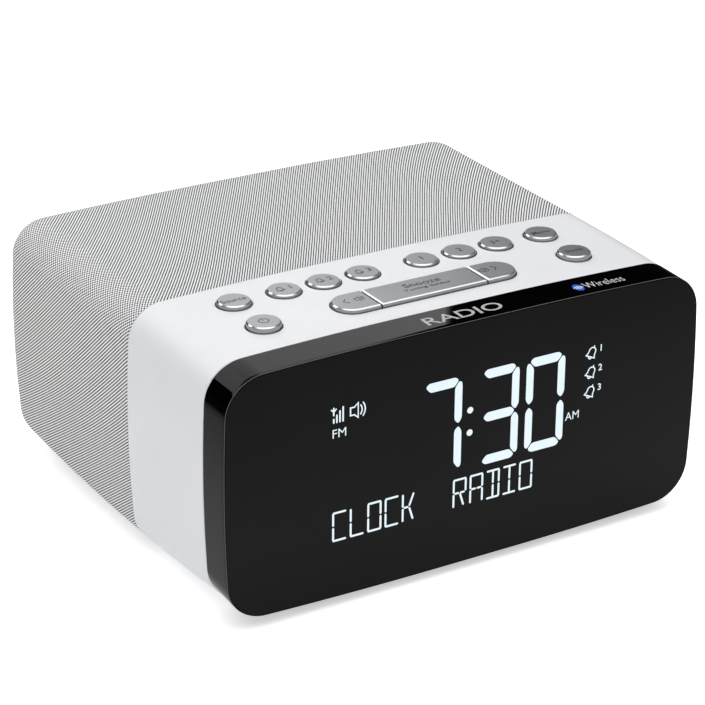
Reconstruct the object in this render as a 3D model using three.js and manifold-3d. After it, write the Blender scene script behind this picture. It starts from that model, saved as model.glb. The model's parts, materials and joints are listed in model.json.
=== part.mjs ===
// Bedside clock radio with a charging top: a gloss front with a large display behind a smoked
// window, a white button deck, and a cloth-covered rear body with a speaker behind each side.
// Millimetres. +X is the listener's right, +Y runs from the front face to the back, +Z is up, and
// the origin is on the table under the middle of the body.
import * as THREE from "three";
import { mergeVertices } from "three/addons/utils/BufferGeometryUtils.js";
import Module from "manifold-3d";

const wasm = await Module();
wasm.setup();

// ---------------------------------------------------------------- driving dimensions
// Inside the "unit" group, Y is the depth behind the front face and Z the height above the front
// face's lower edge.
const DEPTH = 140;
const LIFT = 2.8;
const GAP = 0.2;

const FACE = { half: 79.2, top: 75.4, bottom: 0, topBow: 1.45, sideBow: 1.4, corner: 13 };
const BEZEL_REAR = { half: 79.5, top: 75.7, bottom: 1.2, topBow: 1.45, sideBow: 1.4, corner: 13 };
const BEZEL_DEPTH = 11.7;
const BODY_CORNER = 12;
const BODY_FLARE = 0.0173; // growth of the half width per mm of depth
const SHELL_END = 56.3; // where the white shell meets the cloth
const DECK_TOP = 76.1; // level top of the cloth-covered body
const CROWN_FLAT = 12; // half width of the level strip along the crown
const REAR_ROUND = 9;
const WALL = 2;
const CLOTH = 0.8;

const CAP_TOP = 76.85; // all button faces lie in one plane
const CAP_RADIUS = 4.98;
const CAP_CHAMFER = 0.4;
const CAP_FLANGE = 0.9; // width of the lip that keeps a cap under the shell
const CAP_SLOT = 0.45; // clearance round a cap
const FLANGE_TOP = 72.5;
const FLANGE_BOTTOM = 71.8;
const STEM_BOTTOM = 70.4;
const BACK_ROW = 43.4;
const FRONT_ROW = 26.1;
const KEY_ROW = 25.87;
const KEY_RADIUS = 5.93; // half the depth of the bar of three keys
const KEY_HALF = 30.15; // half its length
const KEY_SPLIT = 17.76; // where the bar divides into its keys
const KEY_SLIT = 0.5;

const BOARD_TOP = 65.2;
const BOARD = 1.6;
const SWITCH_TOP = 69.7;

const BASE = { half: 62, front: 22, rear: 120, bottom: -1.5, top: 0.5 };
const FOOT = { x: 47, depths: [30.5, 112], radius: 5.5 };
const SCREW = { x: 57.5, depths: [36, 106], head: 2.6, shank: 1.2 };

const SPEAKER = { x: 76.2, depth: 98, height: 38 };
const COIL_DEPTH = 96;
const SOCKET_HEIGHT = 21;
const DC = { x: -36 };
const USB = { x: -14, wide: 13.1, high: 5.7 };
const AERIAL = { x: 34 };

// ---------------------------------------------------------------- finishes
const finish = (color, roughness, metalness = 0) =>
  new THREE.MeshStandardMaterial({ color, roughness, metalness });
const smokedWindow = finish(0x242424, 0.12);
const glossBlack = finish(0x0b0b0c, 0.08);
const whitePlastic = finish(0xe4e5e9, 0.35);
const greyCloth = finish(0xc9c9cb, 0.9);
const darkPlastic = finish(0x3a3b3e, 0.55);
const palePlastic = finish(0xd9dadd, 0.5);
const satinSilver = finish(0xa2a3a5, 0.38, 0.6);
const blackRubber = finish(0x1c1c1d, 0.85);
const steel = finish(0xb4b6b9, 0.3, 1);
const boardGreen = finish(0x1d5a38, 0.5);
const copper = finish(0xb8733a, 0.35, 1);
const ferrite = finish(0x2f3033, 0.7);
const displayGlass = finish(0x101214, 0.1);
const paperCone = finish(0x191919, 0.8);

// ---------------------------------------------------------------- making solids
function solid(geometry) {
  const bare = geometry.index ? geometry.toNonIndexed() : geometry.clone();
  bare.deleteAttribute("normal");
  bare.deleteAttribute("uv");
  const merged = mergeVertices(bare, 1e-4);
  return new wasm.Manifold(
    new wasm.Mesh({
      numProp: 3,
      vertProperties: merged.attributes.position.array,
      triVerts: new Uint32Array(merged.index.array),
    }),
  );
}

function geometryOf(shape) {
  const mesh = shape.getMesh();
  const geometry = new THREE.BufferGeometry();
  geometry.setAttribute("position", new THREE.BufferAttribute(mesh.vertProperties, 3));
  geometry.setIndex(new THREE.BufferAttribute(mesh.triVerts, 1));
  const flat = geometry.toNonIndexed();
  flat.computeVertexNormals();
  return flat;
}

const join = (...shapes) => shapes.reduce((whole, shape) => whole.add(shape));
const cut = (whole, ...shapes) => shapes.reduce((rest, shape) => rest.subtract(shape), whole);

// A closed body through rings of equal count; looped joins the last ring to the first.
function loft(rings, looped = false) {
  const count = rings[0].length;
  const index = [];
  const bands = looped ? rings.length : rings.length - 1;
  for (let k = 0; k < bands; k++) {
    const a = k * count;
    const b = ((k + 1) % rings.length) * count;
    for (let i = 0; i < count; i++) {
      const j = (i + 1) % count;
      index.push(a + i, a + j, b + i, a + j, b + j, b + i);
    }
  }
  if (!looped) {
    const last = bands * count;
    for (let i = 1; i < count - 1; i++) {
      index.push(0, i + 1, i, last, last + i, last + i + 1);
    }
  }
  const positions = rings.flat().flatMap((p) => [p.x, p.y, p.z]);
  const geometry = new THREE.BufferGeometry();
  geometry.setAttribute("position", new THREE.Float32BufferAttribute(positions, 3));
  geometry.setIndex(index);
  return solid(geometry);
}

// A turned body about +Z; the profile is [radius, z] pairs with the solid on its left.
function turned(profile, segments = 16) {
  const points = profile.map(([radius, z]) => new THREE.Vector2(radius, z));
  return solid(new THREE.LatheGeometry(points, segments).rotateX(Math.PI / 2));
}

const tube = (profile, segments) => turned([...profile, profile[0]], segments);

const disc = (radius, bottom, top, segments) =>
  turned([[0, bottom], [radius, bottom], [radius, top], [0, top]], segments);

// A box from its low corner to its high corner.
function block(low, high) {
  const size = high.map((value, axis) => value - low[axis]);
  const centre = high.map((value, axis) => (value + low[axis]) / 2);
  return solid(new THREE.BoxGeometry(...size).translate(...centre));
}

function prism(shape, bottom, top, options = {}) {
  const extrude = { depth: top - bottom, bevelEnabled: false, curveSegments: 5, ...options };
  return solid(new THREE.ExtrudeGeometry(shape, extrude).translate(0, 0, bottom));
}

function roundedRectangle(left, front, right, rear, radius) {
  const quarter = Math.PI / 2;
  const shape = new THREE.Shape();
  shape.absarc(right - radius, front + radius, radius, -quarter, 0);
  shape.absarc(right - radius, rear - radius, radius, 0, quarter);
  shape.absarc(left + radius, rear - radius, radius, quarter, 2 * quarter);
  shape.absarc(left + radius, front + radius, radius, 2 * quarter, 3 * quarter);
  return shape;
}

// ---------------------------------------------------------------- the body's outer form
// The value at x of the parabola through three points.
function parabola(x, [x0, v0], [x1, v1], [x2, v2]) {
  return (
    (v0 * (x - x1) * (x - x2)) / ((x0 - x1) * (x0 - x2)) +
    (v1 * (x - x0) * (x - x2)) / ((x1 - x0) * (x1 - x2)) +
    (v2 * (x - x0) * (x - x1)) / ((x2 - x0) * (x2 - x1))
  );
}

// Section of the body at a depth. The bezel tapers from the face; behind it the body flares.
function sectionAt(depth) {
  if (depth <= BEZEL_DEPTH) {
    const t = depth / BEZEL_DEPTH;
    const mix = (key) => FACE[key] + t * (BEZEL_REAR[key] - FACE[key]);
    return Object.fromEntries(Object.keys(FACE).map((key) => [key, mix(key)]));
  }
  const ahead = Math.max(SHELL_END - depth, 0) / (SHELL_END - BEZEL_DEPTH);
  return {
    half: BEZEL_REAR.half + BODY_FLARE * (depth - BEZEL_DEPTH),
    top: DECK_TOP - 0.9 * ahead ** 2,
    bottom: parabola(depth, [BEZEL_DEPTH, 1.0], [SHELL_END, -1.1], [DEPTH, 2.0]),
    topBow: 1.3,
    sideBow: 1.9,
    corner: BODY_CORNER,
  };
}

const TOP_STEPS = 3;
const CORNER_STEPS = 5;
const SIDE_STEPS = 3;

// One ring of the body's skin at a depth, drawn in by inset: a rounded rectangle with bowed sides.
function ring(depth, inset, section = sectionAt(depth)) {
  const half = section.half - inset;
  const high = (section.top - section.bottom) / 2 - inset;
  const middle = (section.top + section.bottom) / 2;
  const corner = Math.max(section.corner - 0.6 * inset, 3);
  const edgeX = half - corner;
  const edgeZ = high - corner;
  const bowStart = CROWN_FLAT;
  const crown = (x) => high - section.topBow * ((x - bowStart) / (half - bowStart)) ** 2;
  const flank = (z) => half - section.sideBow * (z / high) ** 2;
  const quarter = [];
  for (let i = 0; i <= TOP_STEPS; i++) {
    const x = bowStart + ((edgeX - bowStart) * i) / TOP_STEPS;
    quarter.push([x, crown(x)]);
  }
  for (let i = 1; i < CORNER_STEPS; i++) {
    const angle = (i / CORNER_STEPS) * (Math.PI / 2);
    const x = edgeX + (flank(edgeZ) - edgeX) * Math.sin(angle);
    const z = edgeZ + (crown(edgeX) - edgeZ) * Math.cos(angle);
    quarter.push([x, z]);
  }
  for (let i = 0; i < SIDE_STEPS; i++) {
    const z = edgeZ * (1 - i / SIDE_STEPS);
    quarter.push([flank(z), z]);
  }
  const back = [...quarter].reverse();
  const loop = [
    ...quarter,
    [half, 0],
    ...back.map(([x, z]) => [x, -z]),
    ...quarter.map(([x, z]) => [-x, -z]),
    [-half, 0],
    ...back.map(([x, z]) => [-x, z]),
  ];
  return loop.map(([x, z]) => new THREE.Vector3(x, depth, middle + z));
}

const skin = (...stations) => stations.map(([depth, inset]) => ring(depth, inset));

// The rounded rear edge: stations on an arc about a point REAR_ROUND in from the back and sides.
function rearArc(radius, angles) {
  return angles.map((degrees) => {
    const angle = THREE.MathUtils.degToRad(degrees);
    const start = DEPTH - REAR_ROUND;
    return [start + radius * Math.sin(angle), REAR_ROUND - radius * Math.cos(angle)];
  });
}

// ---------------------------------------------------------------- buttons
const ROUND_BUTTONS = [
  ["source", -52.2, BACK_ROW],
  ["alarm_1", -36.1, BACK_ROW],
  ["alarm_2", -23.1, BACK_ROW],
  ["alarm_3", -10.0, BACK_ROW],
  ["preset_1", 10.0, BACK_ROW],
  ["preset_2", 23.1, BACK_ROW],
  ["preset_3", 36.1, BACK_ROW],
  ["menu", 52.2, BACK_ROW],
  ["power", -52.2, FRONT_ROW],
  ["sleep", 52.2, FRONT_ROW],
];
const KEYS = [
  ["volume_down", -KEY_HALF, -KEY_SPLIT],
  ["snooze", -KEY_SPLIT, KEY_SPLIT],
  ["volume_up", KEY_SPLIT, KEY_HALF],
];

// A round cap: stem, retaining flange, body and chamfered rim.
function roundCap() {
  const rim = CAP_TOP - CAP_CHAMFER;
  return turned([
    [0, STEM_BOTTOM],
    [1.6, STEM_BOTTOM],
    [1.6, FLANGE_BOTTOM],
    [CAP_RADIUS + CAP_FLANGE, FLANGE_BOTTOM],
    [CAP_RADIUS + CAP_FLANGE, FLANGE_TOP],
    [CAP_RADIUS, FLANGE_TOP],
    [CAP_RADIUS, rim],
    [CAP_RADIUS - CAP_CHAMFER, CAP_TOP],
    [0, CAP_TOP],
  ]);
}

// Plan outline of the bar of keys between two x values, grown by margin; its ends are half round.
function keyOutline(left, right, margin) {
  const radius = KEY_RADIUS + margin;
  const straight = KEY_HALF - KEY_RADIUS;
  const quarter = Math.PI / 2;
  const shape = new THREE.Shape();
  shape.moveTo(Math.max(left, -straight), -radius);
  if (right >= KEY_HALF) shape.absarc(straight, 0, radius, -quarter, quarter);
  else shape.lineTo(right + margin, -radius).lineTo(right + margin, radius);
  if (left <= -KEY_HALF) shape.absarc(-straight, 0, radius, quarter, 3 * quarter);
  else shape.lineTo(left - margin, radius).lineTo(left - margin, -radius);
  return shape;
}

const keyStemX = (left, right) => (left + right) / 2;

function keyCap(left, right) {
  const isLeftEnd = left <= -KEY_HALF;
  const isRightEnd = right >= KEY_HALF;
  const from = isLeftEnd ? left : left + KEY_SLIT / 2;
  const to = isRightEnd ? right : right - KEY_SLIT / 2;
  const outline = keyOutline(from, to, 0);
  const chamfer = {
    bevelEnabled: true,
    bevelThickness: CAP_CHAMFER,
    bevelSize: CAP_CHAMFER,
    bevelOffset: -CAP_CHAMFER,
    bevelSegments: 1,
  };
  const body = prism(outline, FLANGE_BOTTOM + CAP_CHAMFER, CAP_TOP - CAP_CHAMFER, chamfer);
  const reach = KEY_RADIUS + CAP_FLANGE;
  const lip = block(
    [isLeftEnd ? -(KEY_HALF - KEY_RADIUS) : from, -reach, FLANGE_BOTTOM],
    [isRightEnd ? KEY_HALF - KEY_RADIUS : to, reach, FLANGE_TOP],
  );
  const middle = keyStemX(left, right);
  const stem = disc(1.6, STEM_BOTTOM, FLANGE_BOTTOM + 1, 12).translate([middle, 0, 0]);
  return join(body, lip, stem).translate([0, KEY_ROW, 0]);
}

const switchPlaces = [
  ...ROUND_BUTTONS,
  ...KEYS.map(([name, left, right]) => [name, keyStemX(left, right), KEY_ROW]),
];

// A tact switch: square body, round plunger.
function tactSwitch() {
  const bottom = BOARD_TOP + GAP;
  const bodyTop = bottom + 3.4;
  const body = block([-3, -3, bottom], [3, 3, bodyTop]);
  return join(body, disc(1.7, bodyTop - 1, SWITCH_TOP, 12));
}

// ---------------------------------------------------------------- front
function frontLens() {
  return loft(skin([0, 0.8], [2, 0.8]));
}

// Gloss bezel: chamfered front edge, a rebate for the window, and a spigot into the white shell.
function frontBezel() {
  const spigot = WALL + 1;
  const inner = 4.6;
  const outside = [[0, 0.45], [0.45, 0], [BEZEL_DEPTH, 0], [BEZEL_DEPTH, spigot], [17, spigot]];
  const inside = [[17, inner], [2 + GAP, inner], [2 + GAP, 0.6], [0, 0.6]];
  return loft(skin(...outside, ...inside), true);
}

const baseOutline = (margin) =>
  roundedRectangle(
    -BASE.half - margin,
    BASE.front - margin,
    BASE.half + margin,
    BASE.rear + margin,
    Math.max(8 + margin, 2),
  );

// A ledge inside the bottom opening that the base plate is screwed up against. It stays inside
// the skin drawn in by inset.
function ledge(from, to, inset) {
  const bottom = BASE.top + GAP;
  const sheet = prism(baseOutline(5), bottom, bottom + WALL);
  return sheet.intersect(loft(skin([from, inset], [(from + to) / 2, inset], [to, inset])));
}

// Cuts the pocket for the base plate, the hatch above it and the screw holes.
function openForBase(shell) {
  const pocket = prism(baseOutline(0.4), -20, BASE.top + GAP);
  const hatch = prism(baseOutline(-9), -20, 12);
  const holes = screwPlaces().map(([x, y]) =>
    disc(SCREW.shank + 0.3, -20, 9, 8).translate([x, y, 0]),
  );
  return cut(shell, pocket, hatch, ...holes);
}

const corners = (x, depths) => depths.flatMap((depth) => [[-x, depth], [x, depth]]);
const screwPlaces = () => corners(SCREW.x, SCREW.depths);
const footPlaces = () => corners(FOOT.x, FOOT.depths);

// White shell: a bowed tube with the holes for the caps, and posts that carry the button board.
function frontShell() {
  const start = BEZEL_DEPTH + GAP;
  const outside = [[start, 0.3], [start + 0.4, 0], [26, 0], [41, 0], [SHELL_END - 0.4, 0]];
  const inside = [[SHELL_END, WALL], [34, WALL], [start, WALL]];
  const wall = loft(skin(...outside, [SHELL_END, 0.4], ...inside), true);
  const posts = corners(63, [20, 50]).map(([x, y]) =>
    disc(2.6, BOARD_TOP + GAP, 74.2, 8).translate([x, y, 0]),
  );
  const hole = disc(CAP_RADIUS + CAP_SLOT, 60, 90);
  const holes = ROUND_BUTTONS.map(([, x, y]) => hole.translate([x, y, 0]));
  const bar = prism(keyOutline(-KEY_HALF, KEY_HALF, CAP_SLOT), 60, 90);
  const drilled = cut(wall, ...holes, bar.translate([0, KEY_ROW, 0]));
  return openForBase(join(drilled, ...posts, ledge(17.4, SHELL_END, 0.3)));
}

// Turns a piece drawn along +Z to point out of the back, along +Y.
const facingBack = (shape) => shape.rotate([-90, 0, 0]);

// ---------------------------------------------------------------- rear body
// Slots of the speaker grille, cut across both sides.
function grilleSlots() {
  const radius = 21;
  const slots = [];
  for (let offset = -18; offset <= 18; offset += 6) {
    const reach = Math.sqrt(radius ** 2 - offset ** 2);
    const y = SPEAKER.depth + offset;
    slots.push(
      block([-90, y - 1.6, SPEAKER.height - reach], [90, y + 1.6, SPEAKER.height + reach]),
    );
  }
  return slots;
}

function rearShell() {
  const inset = CLOTH + 0.3;
  const outerRadius = REAR_ROUND - inset;
  const innerRadius = outerRadius - WALL;
  const start = SHELL_END + GAP;
  const stations = [
    [start, inset],
    [100, inset],
    ...rearArc(outerRadius, [0, 45, 90]),
    [DEPTH - inset, 14],
    [DEPTH - inset - WALL, 14],
    ...rearArc(innerRadius, [90, 0]),
    [start, inset + WALL],
  ];
  const wall = cut(loft(skin(...stations), true), ...grilleSlots());
  return openForBase(join(wall, ledge(start, 128, inset + 0.2)));
}

function fabricWrap() {
  const start = SHELL_END + 0.4;
  const stations = [
    [start, 0],
    [100, 0],
    ...rearArc(REAR_ROUND, [0, 30, 60, 84]),
    ...rearArc(REAR_ROUND - CLOTH, [84, 60, 30, 0]),
    [100, CLOTH],
    [start, CLOTH],
  ];
  return cut(loft(skin(...stations), true), prism(baseOutline(0.4), -20, 12));
}

// Plate set in the rear opening, with the three socket holes.
function rearPanel() {
  const flange = DEPTH - 0.9;
  const stations = [[DEPTH - 3.6, 14.3], [flange, 14.3], [flange, 9.6], [DEPTH, 9.9]];
  const round = (x, radius) =>
    facingBack(disc(radius, 120, 150, 20)).translate([x, 0, SOCKET_HEIGHT]);
  const usb = block(
    [USB.x - USB.wide / 2 - 0.3, 120, SOCKET_HEIGHT - USB.high / 2 - 0.3],
    [USB.x + USB.wide / 2 + 0.3, 150, SOCKET_HEIGHT + USB.high / 2 + 0.3],
  );
  return cut(loft(skin(...stations)), round(DC.x, 4.4), usb, round(AERIAL.x, 4.4));
}

// ---------------------------------------------------------------- base
// Flat underside plate with foot recesses, screw holes and posts for the main board.
function basePlate() {
  const plate = prism(baseOutline(0), BASE.bottom, BASE.top);
  const posts = corners(42, [48, 104]).map(([x, y]) =>
    disc(3, BASE.top - 0.5, 8.8, 8).translate([x, y, 0]),
  );
  const recesses = footPlaces().map(([x, y]) =>
    disc(FOOT.radius + 0.25, BASE.bottom - 1, BASE.bottom + 0.7).translate([x, y, 0]),
  );
  const screwHole = turned([
    [0, BASE.bottom - 1],
    [SCREW.head + 0.3, BASE.bottom - 1],
    [SCREW.head + 0.3, BASE.bottom + 1.1],
    [SCREW.shank + 0.25, BASE.bottom + 1.1],
    [SCREW.shank + 0.25, BASE.top + 1],
    [0, BASE.top + 1],
  ]);
  const holes = screwPlaces().map(([x, y]) => screwHole.translate([x, y, 0]));
  return cut(join(plate, ...posts), ...recesses, ...holes);
}

const foot = () =>
  turned([
    [0, -LIFT],
    [FOOT.radius - 0.5, -LIFT],
    [FOOT.radius, -LIFT + 0.5],
    [FOOT.radius, BASE.bottom + 0.5],
    [0, BASE.bottom + 0.5],
  ]);

// Pan-head screw, head down in its counterbore, with a cross recess.
function baseScrew() {
  const headTop = BASE.bottom + 1.1 - GAP;
  const headBottom = BASE.bottom + 0.1;
  const body = turned([
    [0, headBottom],
    [SCREW.head, headBottom],
    [SCREW.head, headTop],
    [SCREW.shank, headTop],
    [SCREW.shank, 4.5],
    [0, 5.2],
  ]);
  const slot = block([-1.4, -0.3, headBottom - 1], [1.4, 0.3, headBottom + 0.5]);
  const across = block([-0.3, -1.4, headBottom - 1], [0.3, 1.4, headBottom + 0.5]);
  return cut(body, slot, across);
}

// ---------------------------------------------------------------- boards and display
const buttonBoard = () => block([-67, 15.5, BOARD_TOP - BOARD], [67, 54.5, BOARD_TOP]);

// Main board with its tuner can, amplifier chip, capacitors and connectors.
function mainBoard() {
  const bottom = 9;
  const top = bottom + BOARD;
  const board = block([-50, 40, bottom], [50, 112, top]);
  const parts = [
    block([-38, 70, top - 0.5], [-14, 88, top + 3.2]),
    block([4, 60, top - 0.5], [16, 72, top + 1.6]),
    block([22, 44, top - 0.5], [42, 49, top + 5]),
    block([-42, 44, top - 0.5], [-26, 49, top + 5]),
    disc(5, top - 0.5, top + 12, 14).translate([28, 86, 0]),
    disc(5, top - 0.5, top + 12, 14).translate([40, 86, 0]),
  ];
  return join(board, ...parts);
}

const displayPanel = () => block([-58, 4.2, 13], [58, 7, 67]);

// Tray that holds the display panel against the window.
function displayFrame() {
  const tray = block([-61, 4.2, 11], [61, 9.4, 69]);
  const seat = block([-58.4, 0, 12.6], [58.4, 7.2, 67.4]);
  const back = block([-50, 0, 20], [50, 12, 60]);
  return cut(tray, seat, back);
}

const displayBoard = () => block([-60, 9.7, 14], [60, 11.3, 66]);

// ---------------------------------------------------------------- charging stack under the deck
const chargingCoil = () => tube([[9, 70.9], [24, 70.9], [24, 72.3], [9, 72.3]], 28);
const ferritePlate = () => block([-27, -27, 69.3], [27, 27, 70.6]);

function coilTray() {
  const tray = block([-32, -32, 65.4], [32, 32, 72.5]);
  const well = block([-27.5, -27.5, 67.2], [27.5, 27.5, 80]);
  const under = block([-30.5, -30.5, 60], [30.5, 30.5, 66]);
  return cut(tray, well, under);
}

const chargeBoard = () =>
  join(block([-28, -20, 61], [28, 20, 62.6]), block([-12, -8, 62], [0, 4, 64.2]));

// ---------------------------------------------------------------- speakers, axis +Z outwards
const speakerBasket = () =>
  tube([
    [9, -14],
    [13, -14],
    [23.5, -1.8],
    [27, -1.8],
    [27, 0],
    [22.5, 0],
    [11.5, -12.4],
    [9, -12.4],
  ]);
const speakerCone = () =>
  turned([
    [0, -13.4],
    [6.4, -13.4],
    [6.8, -9.2],
    [20.8, -1.6],
    [20.8, -0.4],
    [19, 0],
    [8, -6.2],
    [0, -4.8],
  ]);
const speakerMagnet = () =>
  turned([[0, -25], [14, -25], [15.5, -23.5], [15.5, -14.3], [0, -14.3]]);

// ---------------------------------------------------------------- sockets, mouth towards +Y
function dcJack() {
  const nose = disc(4.1, -12, -0.4, 20);
  const housing = block([-4.6, -5.4, -15], [4.6, 5.4, -4.4]);
  const bore = disc(3.2, -11, 1, 20);
  const pin = disc(1, -11.5, -1.4, 12);
  return facingBack(join(cut(join(nose, housing), bore), pin));
}

function usbSocket() {
  const [wide, high] = [USB.wide / 2, USB.high / 2];
  const can = block([-wide, -high, -15], [wide, high, -0.3]);
  const mouth = block([-wide + 0.4, -high + 0.4, -13], [wide - 0.4, high - 0.4, 1]);
  const tongue = block([-5.5, 0.2, -13.5], [5.5, 1.9, -2.2]);
  return facingBack(join(cut(can, mouth), tongue));
}

function aerialSocket() {
  const sleeve = disc(4.1, -13, -0.4, 20);
  const washer = disc(6, -13, -4.4, 6);
  return facingBack(cut(join(sleeve, washer), disc(2.7, -9, 1, 16)));
}

// ---------------------------------------------------------------- scene graph
const radio = new THREE.Group();
const unit = new THREE.Group();
unit.position.set(0, -DEPTH / 2, LIFT);
radio.add(unit);

function add(name, shape, material, place = [0, 0, 0], parent = unit) {
  const mesh = new THREE.Mesh(geometryOf(shape), material);
  mesh.name = name;
  mesh.position.set(...place);
  parent.add(mesh);
}

add("front_lens", frontLens(), smokedWindow);
add("front_bezel", frontBezel(), glossBlack);
add("front_shell", frontShell(), whitePlastic);
add("rear_shell", rearShell(), darkPlastic);
add("fabric_wrap", fabricWrap(), greyCloth);
add("rear_panel", rearPanel(), palePlastic);
add("base_plate", basePlate(), palePlastic);

const sideNames = ["front_left", "front_right", "rear_left", "rear_right"];
footPlaces().forEach(([x, y], i) => {
  add("foot_" + sideNames[i], foot(), blackRubber, [x, y, 0]);
});
screwPlaces().forEach(([x, y], i) => {
  add("base_screw_" + sideNames[i], baseScrew(), steel, [x, y, 0]);
});

for (const [name, x, y] of ROUND_BUTTONS) {
  add("button_" + name, roundCap(), satinSilver, [x, y, 0]);
}
for (const [name, left, right] of KEYS) {
  add("key_" + name, keyCap(left, right), satinSilver);
}
for (const [name, x, y] of switchPlaces) {
  add("switch_" + name, tactSwitch(), darkPlastic, [x, y, 0]);
}
add("button_board", buttonBoard(), boardGreen);

add("display_panel", displayPanel(), displayGlass);
add("display_frame", displayFrame(), darkPlastic);
add("display_board", displayBoard(), boardGreen);
add("main_board", mainBoard(), boardGreen);

add("charging_coil", chargingCoil(), copper, [0, COIL_DEPTH, 0]);
add("ferrite_plate", ferritePlate(), ferrite, [0, COIL_DEPTH, 0]);
add("coil_tray", coilTray(), darkPlastic, [0, COIL_DEPTH, 0]);
add("charge_board", chargeBoard(), boardGreen, [0, COIL_DEPTH, 0]);

for (const [side, sign] of [["left", -1], ["right", 1]]) {
  const speaker = new THREE.Group();
  speaker.position.set(sign * SPEAKER.x, SPEAKER.depth, SPEAKER.height);
  speaker.rotation.y = (sign * Math.PI) / 2;
  unit.add(speaker);
  add(`speaker_${side}_basket`, speakerBasket(), steel, [0, 0, 0], speaker);
  add(`speaker_${side}_cone`, speakerCone(), paperCone, [0, 0, 0], speaker);
  add(`speaker_${side}_magnet`, speakerMagnet(), ferrite, [0, 0, 0], speaker);
}

add("dc_jack", dcJack(), darkPlastic, [DC.x, DEPTH, SOCKET_HEIGHT]);
add("usb_socket", usbSocket(), steel, [USB.x, DEPTH, SOCKET_HEIGHT]);
add("aerial_socket", aerialSocket(), steel, [AERIAL.x, DEPTH, SOCKET_HEIGHT]);

export default radio;
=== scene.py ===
"""Bedside clock radio: fine surfaces, lit and printed marks, materials, floor, lights and camera."""
import json
import math

import bmesh
import bpy
import numpy as np
from mathutils import Matrix, Vector


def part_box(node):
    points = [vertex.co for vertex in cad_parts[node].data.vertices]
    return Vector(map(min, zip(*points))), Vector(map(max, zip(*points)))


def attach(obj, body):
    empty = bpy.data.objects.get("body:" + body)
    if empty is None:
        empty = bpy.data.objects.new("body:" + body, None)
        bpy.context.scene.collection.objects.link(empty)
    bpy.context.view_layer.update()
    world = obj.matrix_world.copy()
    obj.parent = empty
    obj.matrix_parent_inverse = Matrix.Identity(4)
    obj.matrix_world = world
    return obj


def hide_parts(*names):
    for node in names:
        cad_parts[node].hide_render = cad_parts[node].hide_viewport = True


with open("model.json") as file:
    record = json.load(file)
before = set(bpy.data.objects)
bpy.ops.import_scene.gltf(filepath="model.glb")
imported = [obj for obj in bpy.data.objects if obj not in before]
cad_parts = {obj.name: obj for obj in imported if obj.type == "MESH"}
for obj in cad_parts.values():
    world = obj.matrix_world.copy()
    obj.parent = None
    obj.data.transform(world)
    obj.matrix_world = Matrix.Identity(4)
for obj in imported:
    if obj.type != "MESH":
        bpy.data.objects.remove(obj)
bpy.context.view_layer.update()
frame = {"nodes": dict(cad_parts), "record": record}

# ---- the body's frame
# Pieces are drawn in millimetres: x, depth behind the front face, and height above the face's
# lower edge. place() turns that into the row frame, in metres.
MM = 0.001
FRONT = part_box("front_lens")[0].y
REAR_DEPTH = (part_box("rear_panel")[1].y - FRONT) / MM
BASE_BOTTOM = -1.5
FACE_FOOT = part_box("base_plate")[0].z - BASE_BOTTOM * MM
DECK_TOP = (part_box("fabric_wrap")[1].z - FACE_FOOT) / MM
CAP_TOP = (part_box("button_power")[1].z - FACE_FOOT) / MM
SHELL_END = (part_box("front_shell")[1].y - FRONT) / MM
SHELL_START = (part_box("front_shell")[0].y - FRONT) / MM

BEZEL_DEPTH = 11.7
FACE = {"half": 79.2, "top": 75.4, "bottom": 0.0, "top_bow": 1.45, "side_bow": 1.4, "corner": 13.0}
BEZEL_REAR = dict(FACE, half=79.5, top=75.7, bottom=1.2)
BODY_FLARE = 0.0173
CROWN_FLAT = 12.0
REAR_ROUND = 9.0
WALL = 2.0
CLOTH = 0.8
PROUD = 0.03  # how far a printed or lit mark stands above the surface that carries it
CORNER_STEPS, SIDE_STEPS = 16, 14
SMOOTH_UP_TO = math.radians(32)  # edges that turn more than this stay crisp


def place(x, depth, height):
    return Vector((x * MM, FRONT + depth * MM, FACE_FOOT + height * MM))


def parabola(x, points):
    """The value at x of the parabola through three points."""
    (x0, v0), (x1, v1), (x2, v2) = points
    return (
        v0 * (x - x1) * (x - x2) / ((x0 - x1) * (x0 - x2))
        + v1 * (x - x0) * (x - x2) / ((x1 - x0) * (x1 - x2))
        + v2 * (x - x0) * (x - x1) / ((x2 - x0) * (x2 - x1))
    )


def section(depth):
    """Half width, top, bottom, bows and corner radius of the body at a depth."""
    if depth <= BEZEL_DEPTH:
        t = depth / BEZEL_DEPTH
        return {key: FACE[key] + t * (BEZEL_REAR[key] - FACE[key]) for key in FACE}
    ahead = max(SHELL_END - depth, 0) / (SHELL_END - BEZEL_DEPTH)
    underside = ((BEZEL_DEPTH, 1.0), (SHELL_END, -1.1), (REAR_DEPTH, 2.0))
    return {
        "half": BEZEL_REAR["half"] + BODY_FLARE * (depth - BEZEL_DEPTH),
        "top": DECK_TOP - 0.9 * ahead**2,
        "bottom": parabola(depth, underside),
        "top_bow": 1.3,
        "side_bow": 1.9,
        "corner": 12.0,
    }


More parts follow.
